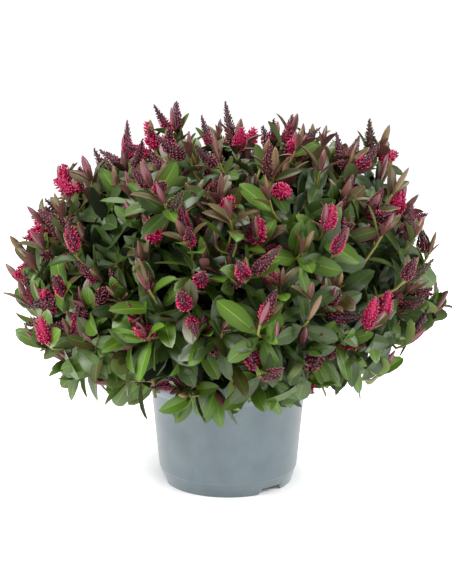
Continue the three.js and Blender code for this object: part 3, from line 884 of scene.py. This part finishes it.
def spindle_shape(name, outline, length, width, sides, flatness, skin_of):
    """A closed shape, pointed at both ends, round +X."""
    shape = bmesh.new()
    layer = shape.faces.layers.int.new("skin")
    rings = []
    for along, wide in outline:
        if wide == 0:
            rings.append([shape.verts.new((along * length * MM, 0, 0))] * sides)
            continue
        rings.append([shape.verts.new((
            along * length * MM,
            y * wide * width / 2 * MM,
            z * wide * width / 2 * flatness * MM,
        )) for y, z in circle(sides)])
    for row, k, face in join_rings(shape, rings):
        face[layer] = int(skin_of(row, k))
    return shape_mesh(name, shape)


def crumb_shape(name, seed):
    """A lump of twenty faces, knocked out of true."""
    random = seeded(seed)
    shape = bmesh.new()
    shape.faces.layers.int.new("skin")
    bmesh.ops.create_icosphere(shape, subdivisions=1, radius=3 * MM)
    for vertex in shape.verts:
        vertex.co *= 0.55 + 0.75 * random()
        vertex.co.z *= 0.7
    return shape_mesh(name, shape)


def halves(placed):
    """Placed shapes, parted into those in front of the stem and those behind it."""
    return {
        "front": [each for each in placed if each[1].y < 0],
        "back": [each for each in placed if each[1].y >= 0],
    }


def shelf(name, meshes):
    """A collection of shapes, in their order, that isn't in the scene."""
    collection = bpy.data.collections.new(name)
    for i, mesh in enumerate(meshes):
        collection.objects.link(bpy.data.objects.new(f"{i:02d} {mesh.name}", mesh))
    return collection


# ---- materials ----


def new_material(name, colour, roughness, sockets=None):
    """A material of one plain colour, with values for its shader's own sockets."""
    material = bpy.data.materials.new(name)
    material.use_nodes = True
    material.diffuse_color = to_linear(colour)
    feed(material.node_tree, material.node_tree.nodes["Principled BSDF"], {
        "Base Color": to_linear(colour), "Roughness": roughness, **(sockets or {})})
    return material


def patterned(material, colours, size, relief, stretch=(1, 1, 1)):
    """Gives a material blotches of a real size in millimetres, and a relief with them."""
    tree = material.node_tree
    place = add_node(tree, "ShaderNodeTexCoord").outputs["Object"]
    stretched = add_node(tree, "ShaderNodeMapping", {"Vector": place, "Scale": stretch})
    blotches = add_node(tree, "ShaderNodeTexNoise", {
        "Vector": stretched, "Scale": 1 / (size * MM), "Detail": 4})
    ramp = add_node(tree, "ShaderNodeValToRGB", {0: blotches})
    for element, position, colour in zip(ramp.color_ramp.elements, (0.35, 0.65), colours):
        element.position = position
        element.color = to_linear(colour)
    bump = add_node(tree, "ShaderNodeBump", {
        "Height": blotches, "Distance": relief * MM, "Strength": 0.6})
    feed(tree, tree.nodes["Principled BSDF"], {"Base Color": ramp, "Normal": bump})
    return material


# Each leaf's upper side, underside, midrib and margins, which are reddish on some.
LEAF_KINDS = {
    # near-black in every part: painted shade for the leaves deep inside the crown
    "shaded": ("#111a0b", "#1a2312", "#151e0d", "#111a0b"),
    "deep_green": ("#2b3f0e", "#56653a", "#3e571f", "#283a0d"),
    "green": ("#425d11", "#61723a", "#5e7a28", "#3c570e"),
    "grey_green": ("#445c24", "#627543", "#5d7440", "#3f5422"),
    "fresh_green": ("#4e6f1a", "#738546", "#688b31", "#486717"),
    "olive": ("#3a4616", "#605834", "#55602a", "#463420"),
    "flushed": ("#46401a", "#6b423c", "#605a2c", "#56322a"),
}
# Which of them a spray has, from the skirt to the top, and which its youngest pair has.
SPRAY_KINDS = [
    (["green", "grey_green", "deep_green", "deep_green"], ["fresh_green", "green"]),
    (["green", "deep_green", "grey_green", "deep_green"],
     ["fresh_green", "olive", "green", "deep_green"]),
    (["deep_green", "green", "olive", "deep_green", "grey_green"], ["flushed", "olive", "green"]),
]


def leaf_materials(kind, upper, underside, rib, margin):
    # A hebe leaf is leathery: its waxy upper skin gives soft highlights, its underside is duller.
    # Deep inside the crown, where its colour is painted shade, it is dull and gives none.
    plain = kind.replace("_", " ")
    in_painted_shade = kind == "shaded"
    skins = [
        ("waxy upper skin", upper, 0.4, 0.42),
        ("dull underside", underside, 0.7, 0.25),
        ("midrib", rib, 0.5, 0.4),
        ("margins", margin, 0.4, 0.42),
    ]
    return [
        new_material(f"Hebe leaf, {plain}, {skin}", colour, 0.8 if in_painted_shade else roughness, {
            "Specular IOR Level": 0.1 if in_painted_shade else shine})
        for skin, colour, roughness, shine in skins]


# ---- the pot and the compost ----


def turned(name, profile, sides):
    """A solid of revolution round the Z axis, from pairs of a radius and a height."""
    shape = bmesh.new()
    rings = [
        [shape.verts.new((radius * MM * x, radius * MM * y, height * MM)) for x, y in circle(sides)]
        for radius, height in profile]
    join_rings(shape, rings)
    bmesh.ops.remove_doubles(shape, verts=shape.verts, dist=1e-6)
    return new_object(name, mesh_of(name, shape))


def pot_inside(gap):
    """The pot's inner profile, from the rim down, this much further in."""
    wall = WALL + gap
    return [
        (RIM_RADIUS - wall, POT_HEIGHT), (RIM_RADIUS - wall, RIM_FOOT_Z + WALL),
        (SHOULDER_RADIUS - wall, SHOULDER_Z + WALL), (FOOT_RADIUS - wall, FOOT_Z),
        (FOOT_RADIUS - wall - 1.6, GROOVE_DEPTH + wall), (GROOVE_INNER - wall, GROOVE_DEPTH + wall),
        (GROOVE_INNER - wall - 2, wall), (0, wall),
    ]


def notch_cutter(number):
    """The room of one drain notch, through the foot ring."""
    turn = Matrix.Rotation(radians(NOTCH_AZIMUTH + 360 * number / NOTCH_COUNT), 3, "Z")
    half, top = NOTCH_WIDTH / 2, GROOVE_DEPTH - 0.5
    section = [(-half, -1), (half, -1), (half - NOTCH_SLANT, top), (NOTCH_SLANT - half, top)]
    shape = bmesh.new()
    ends = [
        [shape.verts.new(turn @ Vector((radius, y, z)) * MM) for y, z in section]
        for radius in (GROOVE_OUTER - 8, 2 * FOOT_RADIUS - GROOVE_OUTER)]
    for end in ends:
        shape.faces.new(end)
    join_rings(shape, ends)
    return new_object("notch", mesh_of("notch", shape))


def make_pot(material):
    """The moulded pot: a rim on a flared shoulder, and a foot ring with drain notches."""
    profile = [
        (0, 0), (GROOVE_INNER - 2, 0),
        (GROOVE_INNER, GROOVE_DEPTH), (GROOVE_OUTER - 0.5, GROOVE_DEPTH),
        (GROOVE_OUTER, 0), (BASE_RADIUS, 0),
        (FOOT_RADIUS, FOOT_Z), (FOOT_RADIUS + FOOT_LEDGE, FOOT_Z + FOOT_LEDGE),
        (SHOULDER_RADIUS, SHOULDER_Z),
        (RIM_RADIUS - 1, RIM_FOOT_Z), (RIM_RADIUS, RIM_FOOT_Z + 2),
        (RIM_RADIUS, POT_HEIGHT - 1.5), (RIM_RADIUS - 0.8, POT_HEIGHT),
    ]
    pot = turned("pot blank", profile + pot_inside(0), POT_SIDES)
    cutters = [notch_cutter(i) for i in range(NOTCH_COUNT)]
    for cutter in cutters:
        cut = pot.modifiers.new("Notch", "BOOLEAN")
        cut.operation = "DIFFERENCE"
        cut.object = cutter
    rounding = pot.modifiers.new("Moulded edges", "BEVEL")
    rounding.width = POT_EDGE * MM
    rounding.segments = 2
    rounding.limit_method = "ANGLE"
    rounding.angle_limit = radians(20)
    pot = settled(pot, "pot_moulding")
    for cutter in cutters:
        bpy.data.objects.remove(cutter)
    pot.data.materials.clear()
    pot.data.materials.append(material)
    pot.data.shade_smooth()
    pot.data.set_sharp_from_angle(angle=radians(35))
    return pot


def make_compost(material):
    """The fill, level below the rim, and loose crumbs on it."""
    inside = [(radius, z) for radius, z in reversed(pot_inside(CLEARANCE)) if z < COMPOST_TOP_Z]
    bed = turned("compost_bed", inside + [(inside[-1][0], COMPOST_TOP_Z), (0, COMPOST_TOP_Z)], 72)
    bed.data.materials.append(material)
    random = seeded(SEED + 7)
    crumbs = []
    for _ in range(CRUMB_COUNT):
        radius = (RIM_RADIUS - WALL - 6) * sqrt(random())
        angle = 360 * random()
        root = direction(angle, 0) * radius + UP * (COMPOST_TOP_Z + 0.4)
        heading = direction(360 * random(), 30 * (random() - 0.5))
        face = heading.cross(square_to(heading))
        crumbs.append((int(random() * 3), root, heading, face, 0.5 + 1.1 * random()))
    shapes = shelf("crumbs", [crumb_shape(f"crumb {i}", SEED + i) for i in range(3)])
    return bed, sprinkled("compost_crumbs", crumbs, shapes, [material])


# ---- making the pieces ----

trees = {"stems": round_stems_tree()}
for skins in (1, 2, 4):
    trees[skins] = sprinkle_tree(skins)

masses = lay_out_masses()
grow_limbs(masses)
branches = grow_branches(masses)
# All that the shrub bears, kind by kind: placed shapes, and paths with their radii.
growth = defaultdict(list)
dressing = seeded(SEED + 3)
for carrier in [mass["stem"] for mass in masses] + [branch["curve"] for branch in branches]:
    dress_branch(carrier, growth, dressing)
for number, shoot in enumerate(grow_shoots(branches)):
    spray = defaultdict(list)
    dress_shoot(shoot, spray, seeded(SPRAY_SEEDS[0] + SPRAY_SEEDS[1] * number))
    if sum(len(spray["leaf", kind]) for kind in LEAF_KINDS) >= LEAST_LEAVES:
        for key, placed in spray.items():
            growth[key] += placed

# Injection-moulded polypropylene, matte from a fine spark-eroded mould: a soft blue-grey.
pot_plastic = patterned(
    new_material("Polypropylene, injection moulded, matte blue-grey", "#646f75", 0.42, {
        "Sheen Weight": 0.5, "Sheen Roughness": 0.4}),
    ("#5f6c73", "#69777c"), size=34, relief=0.05)
# Peat-based potting compost, raked level: dark, dry and crumbly.
compost_mix = patterned(
    new_material("Potting compost, loose and dry", "#3a2c20", 0.95),
    ("#2a2018", "#4a3828"), size=5, relief=1.2)
# Old wood at the foot: grey-brown bark that splits lengthwise.
old_bark = patterned(
    new_material("Hebe bark, old and ridged", "#6f5f45", 0.9),
    ("#57493a", "#8a7a60"), size=4, relief=1.0, stretch=(1, 1, 0.25))
# Younger wood: smoother, ochre to olive.
young_bark = patterned(
    new_material("Hebe bark, young and smooth", "#767042", 0.8),
    ("#665c38", "#857b4c"), size=6, relief=0.3)
branch_bark = new_material("Hebe branch, olive brown", "#6a6038", 0.75)
green_shoot = new_material("Hebe shoot, yellow-green and smooth", "#7a7434", 0.5)

stem_profile = [
    (STEM_FOOT_Z, STEM_FLARE_RADIUS),
    (STEM_FOOT_Z + 5, STEM_FLARE_RADIUS * 0.76),
    (STEM_FOOT_Z + 14, STEM_RADIUS * 1.08),
    (neck_z - 8, STEM_RADIUS),
    (neck_z, STEM_RADIUS * 1.03),
    (STEM_HEAD_Z, STEM_HEAD_RADIUS * 0.95),
    (STEM_HEAD_Z + 10, STEM_HEAD_RADIUS * 0.6),
]
stem_bark = stems("stem_bark", [(
    [Vector((STEM_LEAN * (min(z, neck_z) - STEM_FOOT_Z), 0, z)) for z, _ in stem_profile],
    [radius for _, radius in stem_profile],
)], old_bark, sides=40, step=1.5, relief=2.6, grain=7)

bough_paths = []
for mass in masses:
    fork, curve, root_radius = mass["limb"]
    path, radii = tapered(curve, 10, (root_radius, BOUGH_TIP_RADIUS))
    bough_paths.append(([fork] + path, [radii[0] * 1.15] + radii))
bough_bark = stems("bough_bark", bough_paths, young_bark, sides=12, step=3, relief=1.0, grain=8)

branch_paths = [tapered(mass["stem"], 8, MASS_STEM_RADII) for mass in masses]
branch_paths += [tapered(branch["curve"], 8, BRANCH_RADII) for branch in branches]
branch_wood = stems("branches", branch_paths, branch_bark, sides=6, step=8)
shoot_stalks = stems("shoots_and_stalks", growth["stalks"], green_shoot, sides=5, step=14)

leaf_shapes = shelf("leaves", [
    leaf_shape(f"{name} leaf", LEAF_LENGTH, LEAF_WIDTH, LEAF_LINES, *bends)
    for name, bends in LEAF_BENDS.items()])
leaf_pieces = [
    sprinkled(f"leaves_{kind}", growth["leaf", kind], leaf_shapes, leaf_materials(kind, *colours))
    for kind, colours in LEAF_KINDS.items()]
young_shapes = shelf("young leaves", [
    leaf_shape("narrow leaf", *NARROW_LEAF, SMALL_LEAF_LINES, 30, 0.08, 0),
    leaf_shape("young leaf", *YOUNG_LEAF, LEAF_LINES, 28, 0.24, 0),
])
young_leaves = sprinkled(
    "leaves_young", growth["young leaves"], young_shapes,
    leaf_materials("young", "#4c5020", "#66403a", "#5c4c2a", "#583830"))

tip_shapes = shelf("tips", [spindle_shape(
    "leaf bud", BUD_OUTLINE, BUD_LENGTH, BUD_WIDTH, 8, 0.62, lambda ring, side: side % 3 == 0)])
leaf_buds = [
    sprinkled(f"leaf_buds_{kind}", growth["bud", kind], tip_shapes, [
        new_material(f"Hebe leaf bud, {kind}", side, 0.36),
        new_material(f"Hebe leaf bud, {kind}, dark seam", seam, 0.5),
    ]) for kind, (side, seam) in BUD_KINDS.items()]

# the tip ring of each flower takes the second skin, which holds the painted highlight
flower_shapes = shelf("flowers", [
    spindle_shape("flower", FLOWER_OUTLINE, length, width, 3, 1, lambda ring, side: ring == 2)
    for length, width in FLOWER_SIZES])
# the second material, for the tip, is a painted highlight
flower_materials = {
    kind: [
        new_material(f"Hebe flower, {kind}", body, 0.5),
        new_material(f"Hebe flower, {kind}, its tip", tip, 0.4),
    ] for kind, (body, tip) in FLOWER_KINDS.items()}
flower_pieces = [
    sprinkled(f"flowers_{kind}_{side}", placed, flower_shapes, materials)
    for kind, materials in flower_materials.items()
    for side, placed in halves(growth["flower", kind]).items()]
core_pieces = [
    stems(f"spike_cores_{kind}", growth["core", kind], flower_materials[kind][0], sides=6, step=7)
    for kind in ("dark", "crimson")]

pot_piece = make_pot(pot_plastic)
compost_bed, compost_crumbs = make_compost(compost_mix)

# ---- the stage ----


def softbox(name, place, width, power):
    light = bpy.data.lights.new(name, "AREA")
    light.shape = "SQUARE"
    light.size = width
    light.energy = power
    lamp = new_object(name, light)
    lamp.location = place
    aim = Vector((0, 0, 0.25)) - Vector(place)
    lamp.rotation_euler = aim.to_track_quat("-Z", "Y").to_euler()


def set_stage():
    shape = bmesh.new()
    bmesh.ops.create_grid(shape, x_segments=1, y_segments=1, size=30)
    floor = new_object("floor", mesh_of("floor", shape))
    paper = new_material("Studio paper, plain white", "#ffffff", 1.0, {
        "Emission Color": (1, 1, 1, 1)})
    # it glows far out, less near the pot, where the lamps light it, and not at all under it
    tree = paper.node_tree
    place = add_node(tree, "ShaderNodeTexCoord").outputs["Object"]
    near = add_node(tree, "ShaderNodeTexGradient", {"Vector": place}, gradient_type="SPHERICAL")
    glow = add_node(tree, "ShaderNodeValToRGB", {0: near.outputs[1]})
    glow.color_ramp.elements[0].color = (0.66, 0.66, 0.66, 1)
    glow.color_ramp.elements[1].position = 0.93
    glow.color_ramp.elements[1].color = (0, 0, 0, 1)
    glow.color_ramp.elements.new(0.89).color = (0.34, 0.34, 0.34, 1)
    feed(tree, tree.nodes["Principled BSDF"], {"Emission Strength": glow})
    floor.data.materials.append(paper)
    world = bpy.data.worlds.new("Studio")
    world.use_nodes = True
    tree = world.node_tree
    # white where it is seen, and dimmer as a light, so that the crown's inside stays dark
    seen = add_node(tree, "ShaderNodeLightPath").outputs["Is Camera Ray"]
    strength = add_node(tree, "ShaderNodeMapRange", {0: seen, 3: 0.36, 4: 1.05})
    feed(tree, tree.nodes["Background"], {"Color": (1, 1, 1, 1), "Strength": strength})
    scene = bpy.context.scene
    scene.world = world
    softbox("key softbox", (-1.5, -1.0, 2.0), 1.2, 86)
    softbox("fill softbox", (1.8, -0.9, 1.6), 1.2, 50)
    softbox("back softbox", (0.2, 1.4, 2.2), 1.4, 26)
    camera = bpy.data.cameras.new("camera")
    camera.lens = 79.5
    camera.sensor_width = 36
    camera.clip_end = 100
    eye = new_object("camera", camera)
    eye.location = (-0.0027, -1.685, 0.593)
    eye.rotation_euler = (radians(90 - 11.3), 0, 0)
    scene.camera = eye
    scene.view_settings.view_transform = "Standard"


set_stage()

# ---- what each piece stands for ----

bough_nodes = [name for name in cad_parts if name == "leader" or name.startswith("bough_")]
foliage_nodes = [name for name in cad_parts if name.startswith("foliage_")]
stands_for = [
    (pot_piece, "pot_plastic", ["pot"]),
    (compost_bed, "compost", ["compost"]),
    (compost_crumbs, "compost", []),
    (stem_bark, "bark", ["stem"]),
    (bough_bark, "bough_bark", bough_nodes),
    (branch_wood, "bough_bark", foliage_nodes),
]
for piece in [shoot_stalks, *leaf_pieces, young_leaves, *leaf_buds, *flower_pieces, *core_pieces]:
    stands_for.append((piece, "foliage", foliage_nodes))
for piece, slot, nodes in stands_for:
    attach(piece, "root")
    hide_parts(*nodes)
